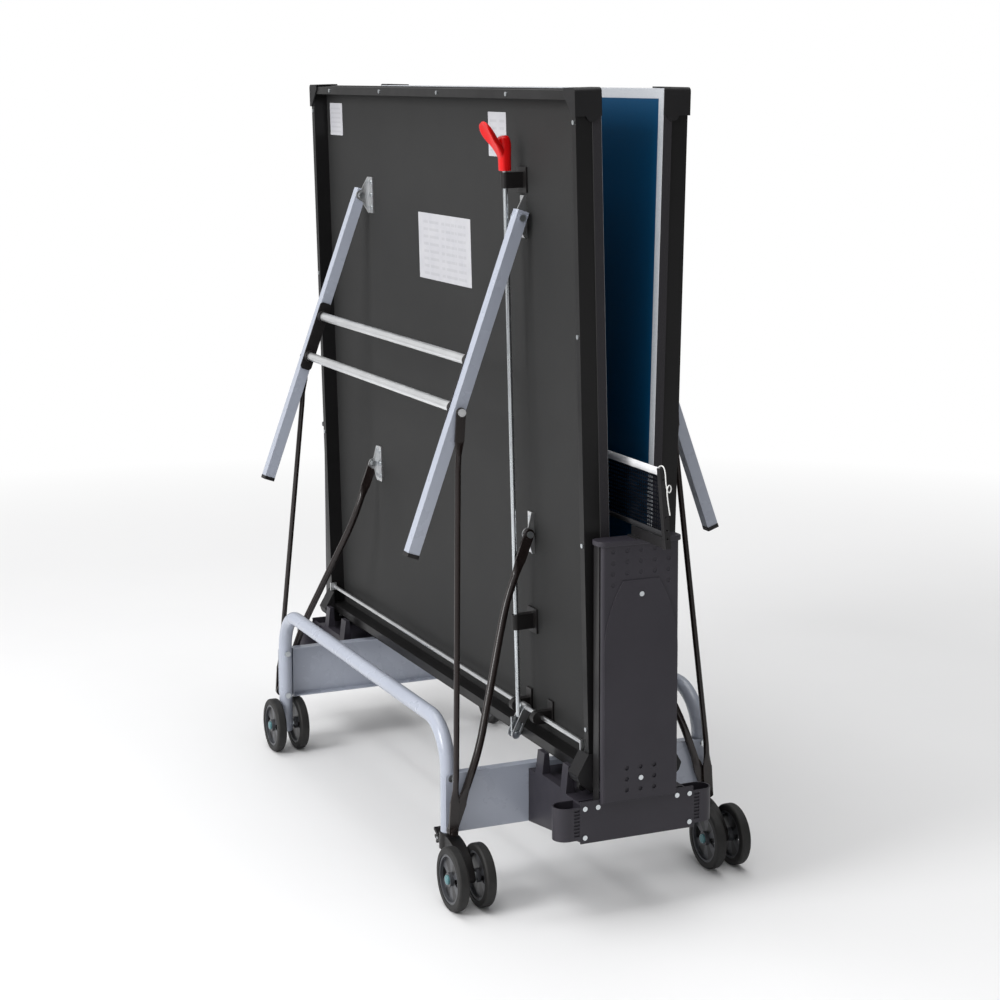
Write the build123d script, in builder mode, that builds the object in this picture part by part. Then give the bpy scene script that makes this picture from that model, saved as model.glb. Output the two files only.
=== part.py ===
from build123d import *
from math import atan2, cos, degrees, hypot, radians, sin
import os

# Folding ping pong table on a wheeled carriage, stored upright.
# X runs along the playing direction, Y across the table, Z up from the floor.
# The left half is drawn in full. The right half is the same half turned 180 degrees about Z.

# ---------------------------------------------------------------- driving dimensions (mm)
TOP_LENGTH = 1370        # one playing half, from the net line to its end
TOP_WIDTH = 1525
TOP_THICK = 20
TABLE_HEIGHT = 760       # playing surface above the floor when open
LEAN = radians(1.42)     # stored halves lean outwards at the top
HALF_GAP = 33            # from the middle plane to the inner edge of a stored half
EDGE_HEIGHT = 254        # height of that edge when stored

RIM_DEPTH = 34           # steel tube rim under the board
RIM_WIDTH = 18
RIM_WALL = 1.5
RIM_INSET = 2
RIM_START = 30           # the rim stops short of the net line
SHOE_LENGTH = 80

GUIDE_U, GUIDE_V = 16, 38          # guide pin in the shoe: along the board, below its surface
ARM_U, ARM_V, ARM_Y = 457, 34, 458
LEG_U, LEG_V, LEG_Y = 1111, 43, 467
LEG_ANGLE = radians(19.65)         # stored leg, off the vertical
LEG_LENGTH = 716.8
LEG_SIZE = 25
ROD_AT = 409                       # rod pivot along the leg
FOOT_X, FOOT_Z = -292.5, 139       # pivot of rod and arm at the carriage corner
ROD_D, ARM_D = 12, 16

TUBE_D, TUBE_WALL = 32, 1.5
TUBE_X, TUBE_Y = 288.5, 523
ARCH_TOP, ARCH_BEND = 347.5, 95
TUBE_END = 128.5                   # lower end of the tube above a swivel caster
WHEEL_R, TYRE_WIDTH, WHEEL_OFFSET = 64, 22, 29
TRAIL = 94
AXLE_D = 12

BEAM_LOW, BEAM_HIGH = 131, 252.5
BEAM_SKIN = TUBE_Y + TUBE_D / 2    # web lies on the outside of the tubes
COLUMN_Y, COLUMN_HALF, COLUMN_TOP = 771, 84, 752
SHIELD_Y, SHIELD_HALF, SHIELD_TOP = 808, 83, 752
HOUSING_Y, HOUSING_HALF = 798, 118
HOUSING_TOP, HOUSING_LOW = 242, 166

NET_TOP, NET_LOW = 912.5, 783
POST_TOP_Y, POST_LOW_Y, POST_FOOT = 886, 912, 762

LOCK_Y, LOCK_V = -440, 60          # pull rod of the lock
SHAFT_U, SHAFT_V = 87, 44          # lock shaft
PIN_U, PIN_V = 37, 70              # pin at the end of the pull rod

RUN = 0.06                         # radial running clearance
GAP = 0.3                          # clearance between pieces that pass each other

os.makedirs("parts", exist_ok=True)


# ---------------------------------------------------------------- frames and helpers
def link_frame(start, end):
    """Frame at start (x, z) with local X towards end, local Y as the world's, local Z across."""
    dx, dz = end[0] - start[0], end[1] - start[1]
    return Plane(origin=(start[0], 0, start[1]), x_dir=(dx, 0, dz), z_dir=(-dz, 0, dx)).location


def on_top(u, v):
    """World (x, z) of a point u along the left half and v behind its playing surface."""
    return (-HALF_GAP - u * sin(LEAN) - v * cos(LEAN), EDGE_HEIGHT + u * cos(LEAN) - v * sin(LEAN))


LEG_PIVOT = on_top(LEG_U, LEG_V)
ARM_PIVOT = on_top(ARM_U, ARM_V)
ROD_PIVOT = (LEG_PIVOT[0] - ROD_AT * sin(LEG_ANGLE), LEG_PIVOT[1] - ROD_AT * cos(LEG_ANGLE))
FOOT = (FOOT_X, FOOT_Z)
TOP_FRAME = link_frame(on_top(0, 0), on_top(TOP_LENGTH, 0))
LEG_FRAME = link_frame(LEG_PIVOT, ROD_PIVOT)
ARM_FRAME = link_frame(ARM_PIVOT, FOOT)
ROD_FRAME = link_frame(ROD_PIVOT, FOOT)
ARM_LENGTH = hypot(FOOT[0] - ARM_PIVOT[0], FOOT[1] - ARM_PIVOT[1])
ROD_LENGTH = hypot(FOOT[0] - ROD_PIVOT[0], FOOT[1] - ROD_PIVOT[1])
GUIDE_REST = on_top(GUIDE_U, GUIDE_V)
GUIDE_OPEN = (-1 - GUIDE_U, TABLE_HEIGHT - GUIDE_V)


def save(shape, name):
    shape.label = name
    export_step(shape, f"parts/{name}.step")


def save_half(shape, name, frame=None):
    """Write a piece of the left half, and the same piece turned round for the right half."""
    placed = shape.moved(frame) if frame else shape
    save(placed, f"{name}_left")
    save(placed.rotate(Axis.Z, 180), f"{name}_right")


def save_ends(shape, name):
    """Write a piece of the near end, and its mirror image for the far end."""
    save(shape, f"{name}_near")
    save(shape.mirror(Plane.XZ), f"{name}_far")


def along_y(near, far):
    """Plane at y = near, for a sketch in (x, z) that is extruded away from the middle."""
    return Plane.XZ.offset(-near) if near < far else Plane.XZ.offset(near)


def span(x, y, z, mode=Mode.ADD):
    """A block given by its three ranges."""
    centre = ((x[0] + x[1]) / 2, (y[0] + y[1]) / 2, (z[0] + z[1]) / 2)
    with Locations(centre):
        return Box(x[1] - x[0], y[1] - y[0], z[1] - z[0], mode=mode)


def rod_y(x, z, radius, low, high, mode=Mode.ADD):
    """A cylinder along Y between low and high."""
    with Locations((x, (low + high) / 2, z)):
        return Cylinder(radius, high - low, rotation=(90, 0, 0), mode=mode)


def rod_x(y, z, radius, low, high, mode=Mode.ADD):
    """A cylinder along X between low and high."""
    with Locations(((low + high) / 2, y, z)):
        return Cylinder(radius, high - low, rotation=(0, 90, 0), mode=mode)


def rod_z(x, y, radius, low, high, mode=Mode.ADD):
    """A cylinder along Z between low and high."""
    with Locations((x, y, (low + high) / 2)):
        return Cylinder(radius, high - low, mode=mode)


# ---------------------------------------------------------------- one half: board and rim
HALF_W = TOP_WIDTH / 2
RIM_BACK = TOP_THICK + RIM_DEPTH
RIM_OUT = HALF_W - RIM_INSET
RIM_IN = RIM_OUT - RIM_WIDTH
RIM_END = TOP_LENGTH - RIM_INSET
SHOE_IN = 722

with BuildPart() as table_top:
    span((0, TOP_LENGTH), (-HALF_W, HALF_W), (0, TOP_THICK))
    chamfer(table_top.edges(), 1)
save_half(table_top.part, "table_top", TOP_FRAME)

rim_bars = [((RIM_START, RIM_END), (-RIM_OUT, -RIM_IN)),
            ((RIM_START, RIM_END), (RIM_IN, RIM_OUT)),
            ((RIM_END - RIM_WIDTH, RIM_END), (-RIM_IN + GAP, RIM_IN - GAP)),
            ((RIM_START, RIM_START + RIM_WIDTH), (-RIM_IN + GAP, RIM_IN - GAP))]
with BuildPart() as rim:
    for u_range, y_range in rim_bars:
        span(u_range, y_range, (TOP_THICK, RIM_BACK))
    for u_range, y_range in rim_bars:
        lengthways = u_range[1] - u_range[0] > RIM_WIDTH
        u_wall, y_wall = (0, RIM_WALL) if lengthways else (RIM_WALL, 0)
        span((u_range[0] + u_wall, u_range[1] - u_wall), (y_range[0] + y_wall, y_range[1] - y_wall),
             (TOP_THICK + RIM_WALL, RIM_BACK - RIM_WALL), Mode.SUBTRACT)
    rod_y(SHAFT_U, SHAFT_V, 5 + GAP, -RIM_IN - 2, RIM_IN + 2, Mode.SUBTRACT)
save_half(rim.part, "rim", TOP_FRAME)

# Corner fittings: wrapped caps at the outer corners, guide shoes with a glide at the inner ones.
CAP_LEG, CAP_SKIN, CAP_FACE = 51, 3, 57
CAP_START = TOP_LENGTH - CAP_LEG
PIN_R = 6
GLIDE_U, GLIDE_V, GLIDE_R = 9, 60, 9
SHOE_OUT = 764.5

with BuildPart() as outer_cap:
    span((CAP_START, TOP_LENGTH + CAP_SKIN), (-HALF_W - CAP_SKIN, -HALF_W + CAP_LEG - CAP_SKIN), (GAP, CAP_FACE))
    corner = outer_cap.edges().filter_by(Axis.Z).group_by(Axis.X)[-1].sort_by(Axis.Y)[0]
    fillet(corner, 9)
    span((CAP_START - 1, TOP_LENGTH + 0.2), (-HALF_W - 0.2, -HALF_W + CAP_LEG), (-1, RIM_BACK + 0.2), Mode.SUBTRACT)
    with BuildSketch(Plane.XY.offset(RIM_BACK)):
        with BuildLine():
            Polyline((CAP_START - 1, -HALF_W + 8), (CAP_START - 1, -HALF_W + CAP_LEG), (TOP_LENGTH - 6, -HALF_W + CAP_LEG),
                     close=True)
        make_face()
    extrude(amount=CAP_FACE, mode=Mode.SUBTRACT)
    rod_y(CAP_START + 2, TOP_THICK, 13, -HALF_W - CAP_SKIN, -HALF_W - 0.2)
    span((CAP_START - 20, CAP_START + 20), (-HALF_W - 5, -HALF_W), (-2, TOP_THICK - 13.5), Mode.SUBTRACT)
    span((CAP_START, CAP_START + 20), (-HALF_W - CAP_SKIN, -HALF_W - 0.2), (GAP, TOP_THICK))

SHOE_OUTLINE = [(2, TOP_THICK + GAP), (2, 52), (23, 76), (38, 81), (SHOE_LENGTH - 1, RIM_BACK + 2),
                (SHOE_LENGTH - 1, RIM_BACK + GAP), (RIM_START - GAP, RIM_BACK + GAP), (RIM_START - GAP, TOP_THICK + GAP)]
with BuildPart() as shoe:
    with BuildSketch(Plane.XZ.offset(SHOE_IN)):
        with BuildLine():
            Polyline(*SHOE_OUTLINE, close=True)
        make_face()
    extrude(amount=SHOE_OUT - SHOE_IN)
    span((2, SHOE_LENGTH - 1), (-SHOE_OUT, -HALF_W - GAP), (TOP_THICK + 2, RIM_BACK + GAP))
    rod_y(GUIDE_U, GUIDE_V, PIN_R + RUN, -SHOE_OUT - 1, -SHOE_IN + 1, Mode.SUBTRACT)
    rod_y(GLIDE_U, GLIDE_V, GLIDE_R + 0.6, -744, -730, Mode.SUBTRACT)
with BuildPart() as glide:
    rod_y(GLIDE_U, GLIDE_V, GLIDE_R, -743.5, -730.5)
    fillet(glide.edges(), 2)

with BuildPart() as corner_fittings:
    for fitting in (outer_cap, shoe, glide):
        add(fitting.part)
        add(fitting.part.mirror(Plane.XZ))
save_half(corner_fittings.part, "corner_fittings", TOP_FRAME)

# Hinge brackets: a bent plate with a flange screwed to the board, one each side for leg and arm.
BRACKET_HALF, BRACKET_PLATE, FLANGE = 43, 3, 25
PIVOT_R = 5


def hinge_bracket(u, v, outer):
    """Bracket at u whose upright plate has its outer face at y = -outer."""
    with BuildPart() as bracket:
        with BuildSketch(Plane.XZ.offset(outer - BRACKET_PLATE)):
            with BuildLine():
                Polyline((u - BRACKET_HALF, TOP_THICK), (u + BRACKET_HALF, TOP_THICK), (u + BRACKET_HALF, TOP_THICK + 6),
                         (u + 13, v), (u - 13, v), (u - BRACKET_HALF, TOP_THICK + 6), close=True)
            make_face()
            with Locations((u, v)):
                Circle(13)
        extrude(amount=BRACKET_PLATE)
        span((u - BRACKET_HALF, u + BRACKET_HALF), (-outer + BRACKET_PLATE, -outer + FLANGE),
             (TOP_THICK, TOP_THICK + BRACKET_PLATE))
        rod_y(u, v, PIVOT_R, -outer - 1, -outer + BRACKET_PLATE + 1, Mode.SUBTRACT)
    return bracket.part


leg_bracket = hinge_bracket(LEG_U, LEG_V, LEG_Y - LEG_SIZE / 2 - 0.5)
arm_bracket = hinge_bracket(ARM_U, ARM_V, ARM_Y - 3.5)
with BuildPart() as hinge_brackets:
    for bracket in (leg_bracket, arm_bracket):
        add(bracket)
        add(bracket.mirror(Plane.XZ))
save_half(hinge_brackets.part, "hinge_brackets", TOP_FRAME)

# Screws of the board: rim screws, flange screws, and the pivot bolts of legs and arms.
with BuildPart() as near_screws:
    for u in (126, 493, 900, 1308):
        rod_z(u, -RIM_OUT + RIM_WIDTH / 2, 4.5, RIM_BACK, RIM_BACK + 2)
    for centre, outer in ((LEG_U, LEG_Y - LEG_SIZE / 2 - 0.5), (ARM_U, ARM_Y - 3.5)):
        for step in (-30, 0, 30):
            rod_z(centre + step, -outer + 15, 5, TOP_THICK + BRACKET_PLATE, TOP_THICK + BRACKET_PLATE + 2.5)
    for u, v, low, high in ((LEG_U, LEG_V, -LEG_Y - LEG_SIZE / 2 - 1, -LEG_Y + 21),
                            (ARM_U, ARM_V, -ARM_Y - 4, -ARM_Y + 12)):
        rod_y(u, v, PIVOT_R, low, high)
        rod_y(u, v, 7, low - 5, low)
        rod_y(u, v, 7, high - 5, high)
with BuildPart() as board_screws:
    add(near_screws.part)
    add(near_screws.part.mirror(Plane.XZ))
    for y in (-441, -72, 279, 623):
        rod_z(RIM_END - RIM_WIDTH / 2, y, 4.5, RIM_BACK, RIM_BACK + 2)
save_half(board_screws.part, "board_screws", TOP_FRAME)


# ---------------------------------------------------------------- one half: legs
with BuildPart() as legs:
    for y in (-LEG_Y, LEG_Y):
        half = LEG_SIZE / 2
        span((-15, LEG_LENGTH - 8), (y - half, y + half), (-half, half))
        span((-15, LEG_LENGTH - 8), (y - half + 1.5, y + half - 1.5), (-half + 1.5, half - 1.5), Mode.SUBTRACT)
        rod_y(0, 0, PIVOT_R + RUN, y - 20, y + 20, Mode.SUBTRACT)
save_half(legs.part, "legs", LEG_FRAME)

BAR_STATIONS = (305, 405)
BAR_R = 10
with BuildPart() as leg_crossbars:
    for u in BAR_STATIONS:
        rod_y(u, 0, BAR_R, -451, 451)
        rod_y(u, 0, BAR_R - 1.5, -451, 451, Mode.SUBTRACT)
    for side in (-1, 1):
        outer = side * (LEG_Y + LEG_SIZE / 2)
        rod_y(ROD_AT, 0, PIVOT_R, *sorted((outer, outer + side * 14)))
        rod_y(ROD_AT, 0, 7, *sorted((outer, outer + side * 4)))
        rod_y(ROD_AT, 0, 8, *sorted((outer + side * 10, outer + side * 15)))
save_half(leg_crossbars.part, "leg_crossbars", LEG_FRAME)

# Black fittings on the legs: a plate with two tube sockets, a foot cap and a top plug.
with BuildPart() as near_leg_fittings:
    inner = LEG_Y - LEG_SIZE / 2
    span((272, 438), (-inner, -inner + 3.5), (-14, 14))
    fillet(near_leg_fittings.edges().filter_by(Axis.Y), 8)
    for u in BAR_STATIONS:
        rod_y(u, 0, BAR_R + 3.5, -inner + 3.5, -inner + 14)
        rod_y(u, 0, BAR_R, -inner + 3.5, -inner + 15, Mode.SUBTRACT)
    span((LEG_LENGTH - 8, LEG_LENGTH), (-LEG_Y - 13.5, -LEG_Y + 13.5), (-13.5, 13.5))
    fillet(near_leg_fittings.edges().filter_by(Axis.X).group_by(Axis.X)[-1], 3)
    span((LEG_LENGTH - 30, LEG_LENGTH - 8), (-LEG_Y - 11, -LEG_Y + 11), (-11, 11))
with BuildPart() as leg_fittings:
    add(near_leg_fittings.part)
    add(near_leg_fittings.part.mirror(Plane.XZ))
save_half(leg_fittings.part, "leg_fittings", LEG_FRAME)


# ---------------------------------------------------------------- one half: arms and rods
FLAT, TAPER = 60, 28               # flattened length of a tube end, and its change to round


def flat_end(u, y, towards, width, thick):
    """Flattened eye of a tube, with its hole at u and its strap reaching towards +1 or -1."""
    span(sorted((u, u + towards * FLAT)), (y - thick / 2, y + thick / 2), (-width / 2, width / 2))
    rod_y(u, 0, width / 2, y - thick / 2, y + thick / 2)


def flattened(u, y, towards, diameter, width, thick, length):
    """Loft from the flat strap at u to the round tube, length further on."""
    turn = Plane(origin=(u, y, 0), x_dir=(0, 1, 0), z_dir=(towards, 0, 0))
    with BuildSketch(turn) as strap:
        RectangleRounded(thick, width, thick * 0.45)
    with BuildSketch(turn.offset(length)) as tube:
        Circle(diameter / 2)
    loft(sections=[strap.sketch, tube.sketch])


ARM_EYE, ARM_THICK, ARM_OUT_Y = 22, 6, 552.2
with BuildPart() as near_arm:
    shift = ARM_OUT_Y - ARM_Y
    with BuildLine() as arm_line:
        FilletPolyline((FLAT + TAPER, -ARM_Y, 0), (150, -ARM_Y, 0), (440, -ARM_Y - shift, 0),
                       (ARM_LENGTH - FLAT - TAPER, -ARM_Y - shift, 0), radius=280)
    with BuildSketch(Plane(origin=(FLAT + TAPER, -ARM_Y, 0), x_dir=(0, 1, 0), z_dir=(1, 0, 0))):
        Circle(ARM_D / 2)
    sweep(path=arm_line.line)
    flattened(FLAT, -ARM_Y, 1, ARM_D, ARM_EYE, ARM_THICK, TAPER)
    flattened(ARM_LENGTH - FLAT, -ARM_OUT_Y, -1, ARM_D, ARM_EYE, ARM_THICK, TAPER)
    flat_end(0, -ARM_Y, 1, ARM_EYE, ARM_THICK)
    flat_end(ARM_LENGTH, -ARM_OUT_Y, -1, ARM_EYE, ARM_THICK)
    rod_y(0, 0, PIVOT_R + RUN, -ARM_Y - 10, -ARM_Y + 10, Mode.SUBTRACT)
with BuildPart() as arms:
    add(near_arm.part)
    add(near_arm.part.mirror(Plane.XZ))
save_half(arms.part, "arms", ARM_FRAME)

ROD_EYE, ROD_THICK = 20, 5
ROD_IN_Y, ROD_OUT_Y = 486.5, 559.5
with BuildPart() as near_rod:
    with BuildLine() as rod_line:
        FilletPolyline((FLAT + TAPER, -ROD_IN_Y, 0), (110, -ROD_IN_Y, 0), (ROD_LENGTH - 110, -ROD_OUT_Y, 0),
                       (ROD_LENGTH - FLAT - TAPER, -ROD_OUT_Y, 0), radius=160)
    with BuildSketch(Plane(origin=(FLAT + TAPER, -ROD_IN_Y, 0), x_dir=(0, 1, 0), z_dir=(1, 0, 0))):
        Circle(ROD_D / 2)
    sweep(path=rod_line.line)
    flattened(FLAT, -ROD_IN_Y, 1, ROD_D, ROD_EYE, ROD_THICK, TAPER)
    flattened(ROD_LENGTH - FLAT, -ROD_OUT_Y, -1, ROD_D, ROD_EYE, ROD_THICK, TAPER)
    flat_end(0, -ROD_IN_Y, 1, ROD_EYE, ROD_THICK)
    flat_end(ROD_LENGTH, -ROD_OUT_Y, -1, ROD_EYE, ROD_THICK)
    rod_y(0, 0, PIVOT_R + RUN, -ROD_IN_Y - 10, -ROD_IN_Y + 10, Mode.SUBTRACT)
    rod_y(ROD_LENGTH, 0, PIVOT_R, -ROD_OUT_Y - 10, -ROD_OUT_Y + 10, Mode.SUBTRACT)
with BuildPart() as foot_bolt:
    rod_y(ROD_LENGTH, 0, PIVOT_R, -ROD_OUT_Y - ROD_THICK / 2, -ROD_OUT_Y + ROD_THICK / 2)
    with BuildSketch(Plane(origin=(ROD_LENGTH, -ROD_OUT_Y - ROD_THICK / 2, 0), x_dir=(1, 0, 0), z_dir=(0, -1, 0))):
        RegularPolygon(8, 6)
    extrude(amount=6)
with BuildPart() as rods:
    for piece in (near_rod, foot_bolt):
        add(piece.part)
        add(piece.part.mirror(Plane.XZ))
save_half(rods.part, "rods", ROD_FRAME)


# ---------------------------------------------------------------- one half: guide pins
ROLLER_R, ROLLER_LOW, ROLLER_HIGH = 9, 777, 783
with BuildPart() as near_guide:
    rod_y(GUIDE_REST[0], GUIDE_REST[1], PIN_R, -ROLLER_HIGH - 3, -SHOE_IN - 8)
    rod_y(GUIDE_REST[0], GUIDE_REST[1], ROLLER_R, -ROLLER_HIGH, -ROLLER_LOW)
    rod_y(GUIDE_REST[0], GUIDE_REST[1], 9, -COLUMN_Y + 1, -SHOE_OUT - 1)
with BuildPart() as guide_pins:
    add(near_guide.part)
    add(near_guide.part.mirror(Plane.XZ))
save_half(guide_pins.part, "guide_pins")


# ---------------------------------------------------------------- one half: lock
# A pull rod with a red handle turns the lock shaft through a slotted lever.
CLIPS = (1186, 271)
SHAFT_R, LOCK_R = 5, 5
BLOCKS = (-520, -415)
with BuildPart() as lock_guides:
    for u in CLIPS:
        span((u - 26, u + 26), (LOCK_Y - 22, LOCK_Y + 22), (TOP_THICK, TOP_THICK + 4))
        span((u - 16, u + 16), (LOCK_Y - 9, LOCK_Y + 9), (TOP_THICK + 4, LOCK_V))
        rod_x(LOCK_Y, LOCK_V, 9, u - 16, u + 16)
        rod_x(LOCK_Y, LOCK_V, LOCK_R + GAP, u - 20, u + 20, Mode.SUBTRACT)
    for y in BLOCKS:
        span((SHAFT_U - 13, SHAFT_U + 13), (y - 8, y + 8), (TOP_THICK, SHAFT_V + 10))
        rod_y(SHAFT_U, SHAFT_V + 10, 13, y - 8, y + 8)
        span((SHAFT_U - 13, SHAFT_U + 32), (y - 12, y + 12), (TOP_THICK, TOP_THICK + 4))
        rod_y(SHAFT_U, SHAFT_V, SHAFT_R + RUN, y - 12, y + 12, Mode.SUBTRACT)
save_half(lock_guides.part, "lock_guides", TOP_FRAME)

LEVER_TURN = degrees(atan2(PIN_V - SHAFT_V, PIN_U - SHAFT_U))
LEVER = Plane(origin=(SHAFT_U, 0, SHAFT_V), z_dir=(0, -1, 0),
              x_dir=(cos(radians(LEVER_TURN)), 0, sin(radians(LEVER_TURN))))
with BuildPart() as lock_shaft:
    rod_y(SHAFT_U, SHAFT_V, SHAFT_R, -RIM_IN - 5, RIM_IN + 5)
    rod_y(SHAFT_U, SHAFT_V, 9, LOCK_Y - 12, LOCK_Y + 12)
    for near_face in (LOCK_Y - 9, LOCK_Y + 12):
        with BuildSketch(LEVER.offset(-near_face)):
            with Locations((30, 0)):
                SlotOverall(78, 18)
        extrude(amount=3)
    with BuildSketch(LEVER.offset(-LOCK_Y - 20)):
        with Locations((46.2, 0)):
            SlotOverall(28.4, 10.6)
    extrude(amount=40, mode=Mode.SUBTRACT)
    for y in (-RIM_IN + 8, RIM_IN - 8):
        span((SHAFT_U - 6, SHAFT_U + 14), (y - 2, y + 2), (SHAFT_V, SHAFT_V + 16))
save_half(lock_shaft.part, "lock_shaft", TOP_FRAME)

HANDLE_LOW, HANDLE_HIGH = 1206, 1268
with BuildPart() as lock_rod:
    rod_x(LOCK_Y, LOCK_V, LOCK_R, 68, HANDLE_LOW + 34)
    span((PIN_U - 8, 70), (LOCK_Y - 2.5, LOCK_Y + 2.5), (LOCK_V - 5, PIN_V + 7))
    rod_y(PIN_U, PIN_V, 3, LOCK_Y - 15, LOCK_Y + 15)
save_half(lock_rod.part, "lock_rod", TOP_FRAME)

with BuildPart() as lock_handle:
    span((HANDLE_LOW, HANDLE_HIGH), (LOCK_Y - 14, LOCK_Y + 14), (LOCK_V - 10, LOCK_V + 9))
    fillet(lock_handle.edges().filter_by(Axis.X), 6)
    with BuildSketch(Plane.XZ.offset(-LOCK_Y - 15)):
        with BuildLine():
            start, middle, tip = (1232, LOCK_V + 8), (1262, LOCK_V + 42), (1302, LOCK_V + 54)
            upper = ThreePointArc(start, middle, tip)
            Line(upper @ 1, (1301, LOCK_V + 59))
            ThreePointArc((1301, LOCK_V + 59), (1256, LOCK_V + 47), (1222, LOCK_V + 8))
            Line((1222, LOCK_V + 8), start)
        make_face()
    extrude(amount=30)
    rod_x(LOCK_Y, LOCK_V, LOCK_R, HANDLE_LOW - 1, HANDLE_LOW + 34, Mode.SUBTRACT)
save_half(lock_handle.part, "lock_handle", TOP_FRAME)


# ---------------------------------------------------------------- carriage: tubes and beams
def arch(x):
    """Bent tube of one side: from the swivel caster, over the top, down to the fixed axle."""
    with BuildPart() as tube:
        with BuildLine() as arch_line:
            FilletPolyline((x, -TUBE_Y, TUBE_END), (x, -TUBE_Y, ARCH_TOP), (x, TUBE_Y, ARCH_TOP), (x, TUBE_Y, 48),
                           radius=ARCH_BEND)
        with BuildSketch(Plane.XY.offset(TUBE_END)):
            with Locations((x, -TUBE_Y)):
                Circle(TUBE_D / 2)
                Circle(TUBE_D / 2 - TUBE_WALL, mode=Mode.SUBTRACT)
        sweep(path=arch_line.line)
        rod_x(TUBE_Y, WHEEL_R, AXLE_D / 2, x - 20, x + 20, Mode.SUBTRACT)
    return tube.part


save(arch(-TUBE_X), "arch_left")
save(arch(TUBE_X), "arch_right")

BEAM_SHEET, BEAM_FLANGE, BEAM_PAN = 2, 21, 270
with BuildPart() as beam:
    span((-301, 301), (-BEAM_SKIN - BEAM_SHEET, -BEAM_SKIN), (BEAM_LOW, BEAM_HIGH))
    fillet(beam.edges().filter_by(Axis.Y), 8)
    span((-BEAM_PAN, BEAM_PAN), (-BEAM_SKIN - 0.1, -BEAM_SKIN + BEAM_FLANGE), (BEAM_LOW, BEAM_HIGH))
    inside = BEAM_PAN - BEAM_SHEET
    span((-inside, inside), (-BEAM_SKIN, -BEAM_SKIN + BEAM_FLANGE + 1),
         (BEAM_LOW + BEAM_SHEET, BEAM_HIGH - BEAM_SHEET), Mode.SUBTRACT)
save_ends(beam.part, "beam")

# Outrigger: two plates that carry the column in front of the beam, inside the plastic housing.
with BuildPart() as outrigger:
    for side in (-1, 1):
        inner, outer = side * COLUMN_HALF, side * (COLUMN_HALF + 3)
        front, back = -COLUMN_Y - 23, -BEAM_SKIN - BEAM_SHEET
        span(sorted((inner, outer)), (front, back), (176, 234))
        span(sorted((inner, side * 112)), (back - 3, back), (176, 234))
save_ends(outrigger.part, "outrigger")

# Column: folded steel upright with a sloping slot for the guide pin of each half.
SLOT_HALF = PIN_R + 0.6
slot_run = (GUIDE_OPEN[0] - GUIDE_REST[0], GUIDE_OPEN[1] - GUIDE_REST[1])
slot_middle = ((GUIDE_OPEN[0] + GUIDE_REST[0]) / 2, (GUIDE_OPEN[1] + GUIDE_REST[1]) / 2)
slot_turn = degrees(atan2(slot_run[1], slot_run[0]))
with BuildPart() as column:
    span((-COLUMN_HALF, COLUMN_HALF), (-COLUMN_Y - 3, -COLUMN_Y), (176, COLUMN_TOP))
    for side in (-1, 1):
        span(sorted((side * COLUMN_HALF, side * (COLUMN_HALF - 2))), (-COLUMN_Y - 23.5, -COLUMN_Y), (176, COLUMN_TOP))
    with BuildSketch(Plane.XZ.offset(COLUMN_Y - 1)):
        for side in (-1, 1):
            with Locations((-side * slot_middle[0], slot_middle[1])):
                SlotOverall(hypot(*slot_run) + 2 * SLOT_HALF, 2 * SLOT_HALF,
                            rotation=slot_turn if side < 0 else -slot_turn)
    extrude(amount=6, mode=Mode.SUBTRACT)
save_ends(column.part, "column")

# Shield: plastic cover of the column, with a raised field, dimples and two screws.
SHIELD_LOW, SHIELD_BACK, SHIELD_SKIN = 243, 798.3, 3
SCREW_HIGH, SCREW_LOW = 654.5, 288
with BuildPart() as shield:
    span((-SHIELD_HALF, SHIELD_HALF), (-SHIELD_Y, -SHIELD_BACK), (SHIELD_LOW, SHIELD_TOP))
    fillet(shield.edges().filter_by(Axis.Z).group_by(Axis.Y)[0], 6)
    inside = SHIELD_HALF - SHIELD_SKIN
    span((-inside, inside), (-SHIELD_Y + SHIELD_SKIN, -SHIELD_BACK + 1), (SHIELD_LOW - 1, SHIELD_TOP), Mode.SUBTRACT)
    with BuildSketch(Plane.XY.offset(SHIELD_TOP)):
        with Locations((0, -788.5)):
            RectangleRounded(180, 45, 14)
    extrude(amount=10)
    with BuildSketch(Plane.XZ.offset(SHIELD_Y)):
        with BuildLine():
            ThreePointArc((-80, 540), (-68, 620), (-39, 683))
            Line((-39, 683), (39, 683))
            ThreePointArc((39, 683), (68, 620), (80, 540))
            Polyline((80, 540), (79, 246), (-79, 246), (-80, 540))
        make_face()
    extrude(amount=2)
    fillet(shield.edges().group_by(Axis.Y)[0], 1.6)
    for z in (SCREW_LOW, SCREW_HIGH):
        rod_y(0, z, 8, -SHIELD_Y, -COLUMN_Y - 3)
    dimples = [(x, z) for x in (-60, -30, 0, 30, 60) for z in (742, 720, 698)] + [(-60, 676), (60, 676)]
    dimples += [(x, SCREW_LOW + z) for x in (-30, 0, 30) for z in (-22, 0, 22) if (x, z) != (0, 0)]
    with BuildSketch(Plane.XZ.offset(SHIELD_Y - 1)):
        with Locations(*dimples):
            Circle(4.6)
    extrude(amount=4, mode=Mode.SUBTRACT)
save_ends(shield.part, "shield")

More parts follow.
